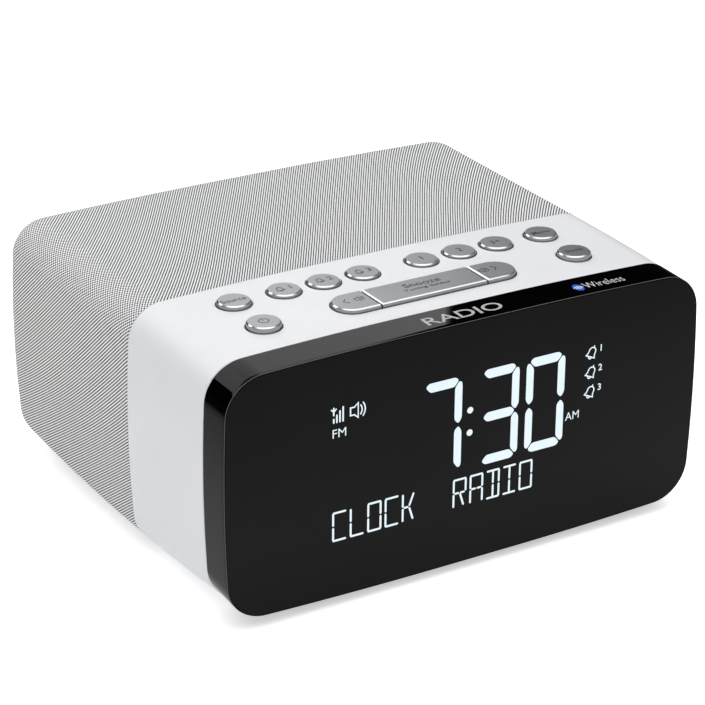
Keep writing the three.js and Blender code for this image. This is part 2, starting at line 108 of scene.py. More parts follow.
def ring(depth, inset, top_steps):
    """One ring of the body's skin at a depth, drawn in by inset: a rounded, bowed rectangle."""
    s = section(depth)
    half = s["half"] - inset
    high = (s["top"] - s["bottom"]) / 2 - inset
    middle = (s["top"] + s["bottom"]) / 2
    corner = max(s["corner"] - 0.6 * inset, 3)
    edge_x, edge_z = half - corner, high - corner

    def crown(x):
        return high - s["top_bow"] * (max(x - CROWN_FLAT, 0) / (half - CROWN_FLAT)) ** 2

    def flank(z):
        return half - s["side_bow"] * (z / high) ** 2

    quarter = [(0.0, high)]
    for i in range(top_steps + 1):
        x = CROWN_FLAT + (edge_x - CROWN_FLAT) * i / top_steps
        quarter.append((x, crown(x)))
    for i in range(1, CORNER_STEPS):
        angle = i / CORNER_STEPS * math.pi / 2
        x = edge_x + (flank(edge_z) - edge_x) * math.sin(angle)
        z = edge_z + (crown(edge_x) - edge_z) * math.cos(angle)
        quarter.append((x, z))
    for i in range(SIDE_STEPS + 1):
        z = edge_z * (1 - i / SIDE_STEPS)
        quarter.append((flank(z), z))
    right = quarter + [(x, -z) for x, z in reversed(quarter[:-1])]
    loop = right + [(-x, z) for x, z in reversed(right[1:-1])]
    return [place(x, depth, middle + z) for x, z in loop]


def rear_arc(radius, degrees):
    """Stations round the rear edge, on an arc REAR_ROUND in from the back and the sides."""
    turns = [math.radians(d) for d in degrees]
    start = REAR_DEPTH - REAR_ROUND
    return [(start + radius * math.sin(t), REAR_ROUND - radius * math.cos(t)) for t in turns]


def edge_arc(depth, inset, radius, quadrant, steps=5):
    """Stations round an outside edge: quadrant 0 leaves the front, 1 arrives at the back."""
    inward = 1 if quadrant == 0 else -1
    stations = []
    for i in range(steps + 1):
        t = i / steps * math.pi / 2
        level = depth + inward * radius * (1 - math.sin(t))
        stations.append((level, inset + radius * (1 - math.cos(t))))
    return stations[::-1] if quadrant == 0 else stations


def run(start, end, step):
    """Evenly spaced stations along the depth, on the outside surface."""
    count = max(1, round((end - start) / step))
    return [(start + (end - start) * i / count, 0.0) for i in range(count + 1)]


# ---- making meshes
def link(name, data):
    made = bpy.data.objects.new(name, data)
    bpy.context.scene.collection.objects.link(made)
    return made


def new_object(name, vertices, faces):
    mesh = bpy.data.meshes.new(name)
    mesh.from_pydata(vertices, [], faces)
    mesh.validate()
    piece = link(name, mesh)
    close_up(piece)
    return piece


def close_up(piece):
    """Merges doubles, points the faces out, and shades smooth up to an angle."""
    work = bmesh.new()
    work.from_mesh(piece.data)
    bmesh.ops.remove_doubles(work, verts=work.verts, dist=1e-7)
    bmesh.ops.recalc_face_normals(work, faces=work.faces)
    work.to_mesh(piece.data)
    work.free()
    shade(piece)


def shade(piece):
    piece.data.shade_smooth()
    piece.data.set_sharp_from_angle(angle=SMOOTH_UP_TO)


def finish_piece(piece, material, body="housing"):
    piece.data.materials.clear()
    piece.data.materials.append(material)
    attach(piece, body)


def stand_in(piece, slot, *nodes, body="housing"):
    """Finishes a fine piece: its body, its slot and that slot's material, and the nodes it replaces."""
    finish_piece(piece, SLOT_MATERIALS[slot], body)
    if nodes:
        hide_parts(*nodes)


def loft(name, rings, looped=False):
    """A closed body through rings of equal count; looped joins the last ring to the first."""
    count = len(rings[0])
    vertices = [p for r in rings for p in r]
    faces = []
    for k in range(len(rings) if looped else len(rings) - 1):
        a, b = k * count, (k + 1) % len(rings) * count
        for i in range(count):
            j = (i + 1) % count
            faces.append((a + i, a + j, b + j, b + i))
    if not looped:
        faces.append(tuple(range(count)))
        faces.append(tuple(range(len(vertices) - count, len(vertices))))
    return new_object(name, vertices, faces)


def skin(stations, top_steps=24):
    return [ring(depth, inset, top_steps) for depth, inset in stations]


AXIS = 0.01  # the radius that a turned profile starts from, which closes it


def turned(name, profile, centre, segments=64, lay=place):
    """A body turned about the axis that lay points along; the profile is (radius, level) pairs."""
    rings = []
    for radius, level in profile:
        turns = [2 * math.pi * i / segments for i in range(segments)]
        points = [(centre[0] + radius * math.cos(t), centre[1] + radius * math.sin(t)) for t in turns]
        rings.append([lay(u, v, level) for u, v in points])
    return loft(name, rings)


def on_back(x, height, depth):
    return place(x, depth, height)


def combine(piece, tools, operation):
    """Cuts the tool bodies out of a piece, or joins them to it, and removes them."""
    for tool in tools:
        modifier = piece.modifiers.new("combine", "BOOLEAN")
        modifier.operation = operation
        modifier.solver = "EXACT"
        modifier.object = tool
    bpy.context.view_layer.update()
    evaluated = piece.evaluated_get(bpy.context.evaluated_depsgraph_get())
    mesh = bpy.data.meshes.new_from_object(evaluated)
    old = piece.data
    piece.modifiers.clear()
    piece.data = mesh
    bpy.data.meshes.remove(old)
    for tool in tools:
        data = tool.data
        bpy.data.objects.remove(tool)
        bpy.data.meshes.remove(data)
    shade(piece)


def outline_loft(name, outline, stations, lay):
    """A body through one plan outline drawn in by each station's inset; lay places a point."""
    rings = [[lay(u, v, level) for u, v in outline(inset)] for inset, level in stations]
    return loft(name, rings)


# ---- materials
def material_nodes(name):
    material = bpy.data.materials.new(name)
    material.use_nodes = True
    tree = material.node_tree
    tree.nodes.clear()
    output = tree.nodes.new("ShaderNodeOutputMaterial")
    shader = tree.nodes.new("ShaderNodeBsdfPrincipled")
    tree.links.new(shader.outputs[0], output.inputs[0])
    return material, tree, shader


def connect(tree, target, inputs):
    """Sets sockets, by name or number, to values or to other nodes' outputs."""
    for key, value in inputs.items():
        if isinstance(value, bpy.types.NodeSocket):
            tree.links.new(value, target.inputs[key])
        else:
            target.inputs[key].default_value = value


def node(tree, kind, inputs, **settings):
    made = tree.nodes.new("ShaderNode" + kind)
    for key, value in settings.items():
        setattr(made, key, value)
    connect(tree, made, inputs)
    return made


def maths(tree, operation, *values):
    return node(tree, "Math", dict(enumerate(values)), operation=operation).outputs[0]


DRIFT_SCALE = 45.0  # cycles per metre of a surface's slow change of colour
FINE_RELIEF = 0.00005


def noise_texture(tree, coordinates, scale, detail=3.0, roughness=0.5):
    texture = node(tree, "TexNoise", {"Vector": coordinates, "Scale": scale, "Detail": detail,
                                      "Roughness": roughness})
    return texture.outputs[0]


def spread(tree, value, low, high):
    """Maps a noise value, which keeps near a half, on to a range."""
    mapped = node(tree, "MapRange", {0: value, 1: 0.3, 2: 0.7, 3: low, 4: high})
    return mapped.outputs[0]


def blend_colours(tree, factor, first, second):
    mix = node(tree, "Mix", {0: factor, 6: first, 7: second}, data_type="RGBA")
    return mix.outputs[2]


def linear(hex_colour):
    """An sRGB colour such as 0xe4e5e9 as linear RGBA."""
    channels = [(hex_colour >> shift & 255) / 255 for shift in (16, 8, 0)]
    return (*[c / 12.92 if c <= 0.04045 else ((c + 0.055) / 1.055) ** 2.4 for c in channels], 1)


def grained(name, colours, grain=2500.0):
    """A material's nodes, with a colour that drifts between two, and a fine grain for its roughness."""
    material, tree, shader = material_nodes(name)
    places = node(tree, "TexCoord", {})
    drift = noise_texture(tree, places.outputs["Object"], DRIFT_SCALE)
    fine = noise_texture(tree, places.outputs["Object"], grain, detail=2.0)
    colour = blend_colours(tree, spread(tree, drift, 0, 1), linear(colours[0]), linear(colours[1]))
    return material, tree, shader, places, fine, colour


def add_bump(tree, shader, height, strength, distance):
    bump = node(tree, "Bump", {"Strength": strength, "Distance": distance, "Height": height})
    connect(tree, shader, {"Normal": bump.outputs[0]})


def moulded(name, colours, roughness, grain=2500.0, bump=0.05, **sockets):
    """A moulded or painted surface; sockets are further shader values that don't vary."""
    material, tree, shader, _, fine, colour = grained(name, colours, grain)
    connect(tree, shader, {"Base Color": colour, "Roughness": spread(tree, fine, *roughness)})
    add_bump(tree, shader, fine, bump, FINE_RELIEF)
    connect(tree, shader, {socket.replace("_", " "): value for socket, value in sockets.items()})
    return material


def facing(tree, places, axis, middle, reach):
    """1 where the surface's own normal is within reach of middle along an axis, and 0 elsewhere."""
    along = node(tree, "SeparateXYZ", {0: places.outputs["Normal"]}).outputs[axis]
    return maths(tree, "COMPARE", along, middle, reach)


def cut_edge_silver():
    """Satin silver paint, with a brighter, smoother cut edge wherever it slopes at 45 degrees."""
    material, tree, shader, places, fine, satin = grained("satin_silver", (0xA5A6A8, 0xADAEB0))
    on_slope = facing(tree, places, 2, math.sqrt(0.5), 0.2)
    colour = blend_colours(tree, on_slope, satin, linear(0xD6D7D9))
    finish = node(tree, "Mix", {0: on_slope, 2: spread(tree, fine, 0.3, 0.36), 3: 0.2}).outputs[0]
    add_bump(tree, shader, fine, 0.08, FINE_RELIEF)
    connect(tree, shader, {"Base Color": colour, "Roughness": finish, "Metallic": 1.0})
    return material


def piano_black():
    """Gloss black plastic, with a painted highlight: a thin grey line along the rounding between its
    front and its sides.
    """
    material, tree, shader, places, fine, black = grained("gloss_black", (0x010101, 0x020202))
    # Painted highlight: the rounding round the front face is coloured grey in place of black.
    edge_highlight_mask = facing(tree, places, 1, -0.6, 0.3)
    colour = blend_colours(tree, edge_highlight_mask, black, linear(0x606163))
    gloss = spread(tree, fine, 0.006, 0.012)
    connect(tree, shader, {"Base Color": colour, "Roughness": gloss, "Specular IOR Level": 0.11})
    return material


LEAN = 0.14  # how much more one set of diagonal rows stands out than the other
LEAN_SIDE, LEAN_TOP = -92.0, -76.0  # threads across, each side of the left corner
HOLE_EDGE, YARN_EDGE = 0.42, 0.14


def woven_cloth():
    """Speaker cloth: pale yarns round a diamond lattice of dark holes, from the weave's own UVs."""
    material, tree, shader = material_nodes("speaker_cloth")
    weave = node(tree, "UVMap", {}, uv_map="weave").outputs[0]
    where = node(tree, "TexCoord", {}).outputs["Object"]
    across, along = node(tree, "SeparateXYZ", {0: weave}).outputs[:2]

    def diagonal(operation):
        """One of the two sets of diagonal rows that cross in the lattice."""
        cycles = maths(tree, operation, across, along)
        return maths(tree, "COSINE", maths(tree, "MULTIPLY", cycles, 2 * math.pi))

    # The rows that lean back stand out on the top and the right, the others on the left side.
    lean = node(tree, "MapRange", {0: across, 1: LEAN_SIDE, 2: LEAN_TOP, 3: 0.5 - LEAN, 4: 0.5 + LEAN})
    rows = {0: lean.outputs[0], 2: diagonal("ADD"), 3: diagonal("SUBTRACT")}
    lattice = node(tree, "Mix", rows).outputs[0]
    wander = noise_texture(tree, where, 900.0, detail=2.0)
    loosened = maths(tree, "MULTIPLY_ADD", wander, 0.3, lattice)
    yarn = node(tree, "MapRange", {0: loosened, 1: HOLE_EDGE, 2: YARN_EDGE, 3: 0.0, 4: 1.0},
                interpolation_type="SMOOTHSTEP").outputs[0]
    pale = blend_colours(tree, spread(tree, wander, 0, 1), linear(0xF0F0F2), linear(0xFCFCFD))
    colour = blend_colours(tree, yarn, linear(0x020203), pale)
    add_bump(tree, shader, yarn, 0.5, 0.0002)
    connect(tree, shader, {"Base Color": colour, "Roughness": 0.9, "Sheen Weight": 0.1,
                           "Specular IOR Level": 0.2})
    return material


WIRE_PITCH = 0.9 * MM


def copper_winding():
    """Enamelled wire in flat turns round the charging coil's own axis, with painted shade in the
    grooves between turns.
    """
    material, tree, shader = material_nodes("copper")
    where = node(tree, "TexCoord", {}).outputs["Object"]
    low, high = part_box("charging_coil")
    centre = (low + high) / 2
    from_axis = node(tree, "VectorMath", {0: where, 1: centre}, operation="SUBTRACT").outputs[0]
    flat = node(tree, "VectorMath", {0: from_axis, 1: (1, 1, 0)}, operation="MULTIPLY").outputs[0]
    radius = node(tree, "VectorMath", {0: flat}, operation="LENGTH").outputs["Value"]
    wire = maths(tree, "SINE", maths(tree, "MULTIPLY", radius, 2 * math.pi / WIRE_PITCH))
    # Painted shade: each turn's colour darkens from its crown towards the grooves between turns.
    groove_shade = node(tree, "MapRange", {0: wire, 1: -1.0, 2: 0.2}).outputs[0]
    colour = blend_colours(tree, groove_shade, linear(0x4A2410), linear(0xC4743A))
    add_bump(tree, shader, wire, 0.8, 0.0003)
    connect(tree, shader, {"Base Color": colour, "Metallic": 0.9, "Roughness": 0.32})
    return material


def circuit_board():
    """Green solder mask over copper tracks, dotted with tinned pads."""
    material, tree, shader = material_nodes("circuit_board")
    where = node(tree, "TexCoord", {}).outputs["Object"]
    tracks = node(tree, "TexBrick", {"Vector": where, "Scale": 180.0, "Mortar Size": 0.035,
                                     "Mortar Smooth": 0.2, "Brick Width": 0.9, "Row Height": 0.3})
    pads = node(tree, "TexVoronoi", {"Vector": where, "Scale": 330.0, "Randomness": 0.6})
    tinned = node(tree, "MapRange", {0: pads.outputs["Distance"], 1: 0.24, 2: 0.18}).outputs[0]
    mask = blend_colours(tree, tracks.outputs["Fac"], linear(0x0C4A26), linear(0x1C6E3C))
    colour = blend_colours(tree, tinned, mask, linear(0xB9BCC0))
    add_bump(tree, shader, tracks.outputs["Fac"], 0.4, 0.0001)
    connect(tree, shader, {"Base Color": colour, "Roughness": 0.35})
    return material


def lit(name, hex_colour, strength):
    """A lit display mark: a nearly even glow that drifts a little paler in places."""
    material, tree, shader = material_nodes(name)
    where = node(tree, "TexCoord", {}).outputs["Object"]
    drift = noise_texture(tree, where, 300.0)
    paler = blend_colours(tree, spread(tree, drift, 0, 1), linear(hex_colour), (1, 1, 1, 1))
    glow = blend_colours(tree, 0.35, linear(hex_colour), paler)
    connect(tree, shader, {"Emission Color": glow, "Emission Strength": strength,
                           "Base Color": (0.02, 0.02, 0.02, 1), "Roughness": 0.4})
    return material


SLOT_MATERIALS = {
    "smoked_window": moulded("smoked_window", (0x101011, 0x121213), (0.03, 0.05), bump=0.0,
                             Specular_IOR_Level=0.12),
    "gloss_black": piano_black(),
    "white_plastic": moulded("white_plastic", (0xE8E9EC, 0xECEDF0), (0.3, 0.38), bump=0.03,
                             Specular_IOR_Level=0.25),
    "speaker_cloth": woven_cloth(),
    "pale_plastic": moulded("pale_plastic", (0xD4D5D8, 0xDADBDE), (0.42, 0.55), 1500, 0.2),
    "dark_plastic": moulded("dark_plastic", (0x2E2F32, 0x37383B), (0.45, 0.6), 1500, 0.2),
    "satin_silver": cut_edge_silver(),
    "black_rubber": moulded("black_rubber", (0x141415, 0x1D1D1E), (0.75, 0.9), 1800, 0.3),
    "steel": moulded("steel", (0xA9ABAE, 0xB7B9BC), (0.22, 0.36), Metallic=1.0),
    "circuit_board": circuit_board(),
    "display_glass": moulded("display_glass", (0x08090B, 0x0C0E12), (0.05, 0.09), bump=0.0),
    "copper": copper_winding(),
    "ferrite": moulded("ferrite", (0x26272A, 0x313236), (0.6, 0.75), 3000, 0.4),
    "paper_cone": moulded("paper_cone", (0x151515, 0x212121), (0.75, 0.9), 900, 0.6),
}


# ---- front
SEAM = 0.14  # how far the bezel's skin stops short, which darkens the joint line


def front_lens():
    rings = skin([(PROUD, 0.34), (PROUD + 0.02, 0.32), (2, 0.32)])
    piece = loft("front_lens_fine", rings)
    stand_in(piece, "smoked_window", "front_lens")


def front_bezel():
    spigot, inner = WALL + 1, 4.6
    rear = BEZEL_DEPTH - SEAM
    outside = edge_arc(PROUD, 0, 0.22, 0) + run(1.5, rear - 0.4, 2.5)
    outside += edge_arc(rear, 0, 0.2, 1, steps=3)
    inside = [(rear, spigot), (17, spigot), (17, inner), (2.2, inner), (2.2, 0.4), (PROUD, 0.4)]
    piece = loft("front_bezel_fine", skin(outside + inside), looped=True)
    stand_in(piece, "gloss_black", "front_bezel")


BUTTON_NAMES = [n for n in frame["nodes"] if n.startswith("button_") and n != "button_board"]
KEY_NAMES = [n for n in frame["nodes"] if n.startswith("key_")]
CAP_FLANGE = 0.9
CAP_SLOT = 0.45
CHAMFER = 0.4
CHAMFER_EDGE = 0.06  # how far each edge of a cap's chamfer is rounded over
FLANGE_FOOT, FLANGE_HEAD = 71.8, 72.5
STEM_RADIUS = 1.6


def plan_box(name):
    """A node's plan rectangle in millimetres: left, front, right, rear."""
    low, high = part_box(name)
    return low.x / MM, (low.y - FRONT) / MM, high.x / MM, (high.y - FRONT) / MM


def plan_centre(name):
    left, front, right, rear = plan_box(name)
    return (left + right) / 2, (front + rear) / 2


KEY_LEFT = min(plan_box(n)[0] for n in KEY_NAMES)
KEY_RIGHT = max(plan_box(n)[2] for n in KEY_NAMES)
KEY_ROW = plan_centre("key_snooze")[1]
KEY_RADIUS = (plan_box("key_snooze")[3] - plan_box("key_snooze")[1]) / 2 - CAP_FLANGE
CAP_RADIUS = (plan_box("button_power")[2] - plan_box("button_power")[0]) / 2 - CAP_FLANGE


def key_outline(left, right, inset, steps=20):
    """Plan outline of a key between two x values; an end of the bar is half round."""
    radius = KEY_RADIUS - inset
    ends = [(right, 1, right >= KEY_RIGHT - 0.01), (left, -1, left <= KEY_LEFT + 0.01)]
    points = []
    for edge, side, is_round in ends:
        if is_round:
            centre = edge - side * KEY_RADIUS
            turns = [math.pi * (i / steps - side * 0.5) for i in range(steps + 1)]
            points += [(centre + radius * math.cos(t), radius * math.sin(t)) for t in turns]
        else:
            x = edge - side * inset
            points += [(x, -side * radius), (x, side * radius)]
    return points


def on_deck(x, y, height):
    return place(x, KEY_ROW + y, height)


def front_shell():
    outside = edge_arc(SHELL_START, 0, 0.45, 0) + run(SHELL_START + 1, SHELL_END - 1, 1.6)
    outside += edge_arc(SHELL_END, 0, 0.3, 1)
    inside = [(SHELL_END, WALL), (34, WALL), (SHELL_START, WALL)]
    piece = loft("front_shell_fine", skin(outside + inside, top_steps=44), looped=True)
    cutters = []
    for name in BUTTON_NAMES:
        hole = [(CAP_RADIUS + CAP_SLOT, 60), (CAP_RADIUS + CAP_SLOT, 90)]
        cutters.append(turned("hole_" + name, hole, plan_centre(name), segments=72))
    stations = [(-CAP_SLOT, 60), (-CAP_SLOT, 90)]
    cutters.append(outline_loft("hole_keys", lambda i: key_outline(KEY_LEFT, KEY_RIGHT, i), stations,
                                on_deck))
    combine(piece, cutters, "DIFFERENCE")
    stand_in(piece, "white_plastic", "front_shell")


# ---- buttons
def shoulder():
    """A cap's chamfer as (inset, height) pairs, from its side up to its flat top, edges eased.
    A pair beside each edge keeps the easing's shading off the flats."""
    top, soft, easing, beside = CAP_TOP - PROUD, CHAMFER_EDGE, CHAMFER_EDGE * 0.3, 0.03
    foot = top - CHAMFER
    low = [(0, foot - soft - beside), (0, foot - soft), (easing, foot - easing), (soft, foot + soft)]
    low.append((soft + beside, foot + soft + beside))
    high = [(CHAMFER - soft - beside, top - soft - beside), (CHAMFER - soft, top - soft)]
    high += [(CHAMFER - easing, top - easing), (CHAMFER + soft, top), (CHAMFER + soft + beside, top)]
    return low + high


def round_cap(name):
    low = (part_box(name)[0].z - FACE_FOOT) / MM
    flange = CAP_RADIUS + CAP_FLANGE
    profile = [(AXIS, low), (STEM_RADIUS, low), (STEM_RADIUS, FLANGE_FOOT), (flange, FLANGE_FOOT)]
    profile += [(flange, FLANGE_HEAD), (CAP_RADIUS, FLANGE_HEAD)]
    profile += [(CAP_RADIUS - inset, height) for inset, height in shoulder()]
    profile.append((AXIS, CAP_TOP - PROUD))
    piece = turned(name + "_fine", profile, plan_centre(name), segments=96)
    stand_in(piece, "satin_silver", name, body=name)


def key_cap(name):
    left, _, right, _ = plan_box(name)
    stations = [(0, FLANGE_FOOT)] + shoulder()
    piece = outline_loft(name + "_fine", lambda i: key_outline(left, right, i), stations, on_deck)
    stand_in(piece, "satin_silver", name, body=name)


# ---- cloth
WEAVE_ROWS = 0.735  # threads along the depth, in cycles per millimetre
PLATE_CORNER = 8


def weave_phase(arc):
    """Threads across the cloth, in cycles, at an arc length from the crown: densest on the top."""
    marks = [0, 40, 60, 76, 92, 110, 124, 260]
    pitch = [1.19, 1.19, 1.0, 0.9, 0.85, 0.957, 1.11, 1.11]
    fine = np.linspace(0, 260, 521)
    density = np.interp(fine, marks, pitch)
    total = np.concatenate([[0], np.cumsum((density[1:] + density[:-1]) / 2 * np.diff(fine))])
    return float(np.interp(arc, fine, total))


def base_outline(margin, steps=10):
    """The base plate's plan outline, grown by margin."""
    left, front, right, rear = plan_box("base_plate")
    radius = PLATE_CORNER + margin
    corners = [(right, front, -90), (right, rear, 0), (left, rear, 90), (left, front, 180)]
    points = []
    for x, y, start in corners:
        cx = x - math.copysign(PLATE_CORNER, x)
        cy = y + (PLATE_CORNER if y == front else -PLATE_CORNER)
        for i in range(steps + 1):
            t = math.radians(start + 90 * i / steps)
            points.append((cx + radius * math.cos(t), cy + radius * math.sin(t)))
    return points


def fabric_wrap():
    start = SHELL_END + 0.1
    side = run(start + 0.4, REAR_DEPTH - REAR_ROUND, 3.0)
    outside = [(start, 0.4), (start + 0.1, 0.1)] + side[:-1] + rear_arc(REAR_ROUND, range(0, 85, 7))
    inside = rear_arc(REAR_ROUND - CLOTH, range(84, -1, -14)) + [(100, CLOTH), (start, CLOTH)]
    stations = outside + inside
    rings = skin(stations)
    piece = loft("fabric_wrap_fine", rings, looped=True)
    add_weave(piece, stations, rings)
    opening = outline_loft("opening", lambda i: base_outline(0.4 - i), [(0, -20), (0, 12)], place)
    combine(piece, [opening], "DIFFERENCE")
    stand_in(piece, "speaker_cloth", "fabric_wrap")


def add_weave(piece, stations, rings):
    """Lays the weave's UVs: threads round the body across, threads along its depth up."""
    count = len(rings[0])
    mesh = piece.data
    layer = mesh.uv_layers.new(name="weave")
    middle = rings[0]
    arc = [0.0]
    for i in range(1, count // 2 + 1):
        arc.append(arc[-1] + (middle[i] - middle[i - 1]).length / MM)
    along = [0.0]
    for (d0, i0), (d1, i1) in zip(stations, stations[1:]):
        along.append(along[-1] + math.hypot(d1 - d0, i1 - i0))
    around = [weave_phase(a) for a in arc]
    around += [-around[count - i] for i in range(count // 2 + 1, count)]
    lookup = {}
    for k, points in enumerate(rings):
        for i, p in enumerate(points):
            lookup[tuple(round(c, 7) for c in p)] = (k, i)
    for polygon in mesh.polygons:
        where = [lookup[tuple(round(c, 7) for c in mesh.vertices[v].co)] for v in polygon.vertices]
        columns = [i for _, i in where]
        for loop, (k, i) in zip(polygon.loop_indices, where):
            past_seam = i == count // 2 and count // 2 + 1 in columns
            across = -around[i] if past_seam else around[i]
            layer.data[loop].uv = (across, along[k] * WEAVE_ROWS)


# ---- back and underside
def back_centre(name):
    """The middle of a node seen from behind, as x and height."""
    low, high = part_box(name)
    return (low.x + high.x) / 2 / MM, ((low.z + high.z) / 2 - FACE_FOOT) / MM


def oblong(centre, wide, high, radius, steps=6):
    """A rounded rectangle's outline about a centre."""
    points = []
    reach_x, reach_y = wide / 2 - radius, high / 2 - radius
    for k, (sx, sy) in enumerate(((1, 1), (-1, 1), (-1, -1), (1, -1))):
        for i in range(steps + 1):
            t = math.radians(90 * (k + i / steps))
            x = centre[0] + sx * reach_x + radius * math.cos(t)
            y = centre[1] + sy * reach_y + radius * math.sin(t)
            points.append((x, y))
    return points


SOCKET_HOLE = 4.4
USB_GAP = 0.3
PANEL_INSET = 9.6


def rear_panel():
    flange, spigot = REAR_DEPTH - 0.9, 14.3
    stations = [(REAR_DEPTH - 3.6, spigot), (flange, spigot), (flange, PANEL_INSET)]
    stations += edge_arc(REAR_DEPTH, PANEL_INSET, 0.45, 1)
    piece = loft("rear_panel_fine", skin(stations))
    through = [(0, REAR_DEPTH - 20), (0, REAR_DEPTH + 10)]
    cutters = []
    for name in ("dc_jack", "aerial_socket"):
        hole = [(SOCKET_HOLE, depth) for _, depth in through]
        cutters.append(turned("hole_" + name, hole, back_centre(name), lay=on_back))
    low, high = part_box("usb_socket")
    wide, tall = (high.x - low.x) / MM + 2 * USB_GAP, (high.z - low.z) / MM + 2 * USB_GAP
    mouth = oblong(back_centre("usb_socket"), wide, tall, 0.6)
    cutters.append(outline_loft("hole_usb", lambda _: mouth, through, on_back))
    combine(piece, cutters, "DIFFERENCE")
    stand_in(piece, "pale_plastic", "rear_panel")


SOCKET_RADIUS = 4.1


def barrel(name, bore, depth_of_bore, length, slot):
    """A round socket with an eased mouth just inside the panel; it stands for the node of its name."""
    mouth = REAR_DEPTH - 0.4
    profile = [(AXIS, mouth - depth_of_bore), (bore, mouth - depth_of_bore), (bore, mouth - 0.35)]
    profile += [(bore + 0.3, mouth), (SOCKET_RADIUS - 0.15, mouth), (SOCKET_RADIUS, mouth - 0.15)]
    profile += [(SOCKET_RADIUS, mouth - length), (AXIS, mouth - length)]
    piece = turned(name + "_fine", profile, back_centre(name), lay=on_back)
    stand_in(piece, slot, name)


def contact(name, socket, radius, start, end):
    """A round contact pin on a socket's axis, with a domed tip."""
    profile = [(AXIS, start), (radius, start), (radius, end - 0.5 * radius)]
    profile += [(0.7 * radius, end - 0.12 * radius), (AXIS, end)]
    piece = turned(name, profile, back_centre(socket), segments=32, lay=on_back)
    stand_in(piece, "steel")


def sockets():
    barrel("dc_jack", 3.2, 10.6, 14.6, "dark_plastic")
    contact("dc_pin", "dc_jack", 1.0, REAR_DEPTH - 11.2, REAR_DEPTH - 1.4)
    barrel("aerial_socket", 2.7, 8.6, 12.6, "steel")
    rear, face = REAR_DEPTH - 9.2, REAR_DEPTH - 4
    insulator = [(AXIS, rear), (2.6, rear), (2.6, face - 0.2), (0.9, face), (AXIS, face)]
    piece = turned("aerial_insulator", insulator, back_centre("aerial_socket"), lay=on_back)
    stand_in(piece, "dark_plastic")
    contact("aerial_contact", "aerial_socket", 0.6, REAR_DEPTH - 9, REAR_DEPTH - 2.6)


FEET = [n for n in frame["nodes"] if n.startswith("foot_")]


def foot(name):
    """A rubber foot with an eased lower edge and a shallow ring moulded in its sole."""
    low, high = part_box(name)
    radius = (high.x - low.x) / 2 / MM
    bottom, top = (low.z - FACE_FOOT) / MM, (high.z - FACE_FOOT) / MM
    profile = [(AXIS, top), (radius, top)]
    for i in range(7):
        t = i / 6 * math.pi / 2
        profile.append((radius - 0.5 * (1 - math.cos(t)), bottom + 0.5 * (1 - math.sin(t))))
    profile += [(radius - 1.4, bottom), (radius - 1.6, bottom + 0.2)]
    profile += [(radius - 2.0, bottom + 0.2), (radius - 2.2, bottom), (AXIS, bottom)]
    piece = turned(name + "_fine", profile, plan_centre(name))
    stand_in(piece, "black_rubber", name)


POST_X, POST_DEPTHS = 42, (48, 104)


def base_plate():
    """The underside plate, its edge eased, with a pocket for each foot and screw."""
    bottom = (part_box("base_plate")[0].z - FACE_FOOT) / MM
    stations = [(0, 0.5), (0, bottom + 0.3), (0.09, bottom + 0.09), (0.3, bottom)]
    piece = outline_loft("base_plate_fine", lambda i: base_outline(-i), stations, place)
    cutters = []
    for name in FEET:
        pocket = [(5.75, bottom - 1), (5.75, bottom + 0.7)]
        cutters.append(turned("pocket_" + name, pocket, plan_centre(name)))
    for name in (n for n in frame["nodes"] if n.startswith("base_screw_")):
        bore = [(2.9, bottom - 1), (2.9, bottom + 1.1), (1.45, bottom + 1.1), (1.45, 1.5)]
        cutters.append(turned("bore_" + name, bore, plan_centre(name), segments=32))
    combine(piece, cutters, "DIFFERENCE")
    posts = []
    profile = [(AXIS, 0), (3, 0), (3, 8.6), (2.8, 8.8), (AXIS, 8.8)]
    for depth in POST_DEPTHS:
        for x in (-POST_X, POST_X):
            posts.append(turned("post", profile, (x, depth), segments=32))
    combine(piece, posts, "UNION")
    stand_in(piece, "pale_plastic", "base_plate")


# ---- marks: flat shapes in thin relief
def on_face(x, height, level):
    return place(x, PROUD - level, height)


def on_caps(x, depth, level):
    return place(x, depth, CAP_TOP - PROUD + level)


def on_band(x, depth, level):
    s = section(depth)
    fall = s["top_bow"] * (max(abs(x) - CROWN_FLAT, 0) / (s["half"] - CROWN_FLAT)) ** 2
    return place(x, depth, s["top"] - fall + level)


def relief(name, shapes, lay, material, body="housing"):
    """Thin plates a hair proud of the surface that lay places them on. A shape is an outline, or
    the outer and inner outline of a closed band."""
    vertices, faces = [], []
    for shape in shapes:
        loops = shape if isinstance(shape, tuple) else (shape,)
        first, count = len(vertices), len(loops[0])
        for loop in loops:
            vertices += [lay(u, v, -PROUD) for u, v in loop] + [lay(u, v, PROUD) for u, v in loop]
        walls = [first + 2 * count * k for k in range(len(loops))]
        for base in walls:
            for i in range(count):
                j = (i + 1) % count
                faces.append((base + i, base + j, base + count + j, base + count + i))
        if len(loops) == 1:
            faces.append(tuple(range(first, first + count)))
            faces.append(tuple(range(first + count, first + 2 * count)))
            continue
        for shift in (0, count):
            outer, inner = walls[0] + shift, walls[1] + shift
            for i in range(count):
                j = (i + 1) % count
                faces.append((outer + i, outer + j, inner + j, inner + i))
    piece = new_object(name, vertices, faces)
    finish_piece(piece, material, body)


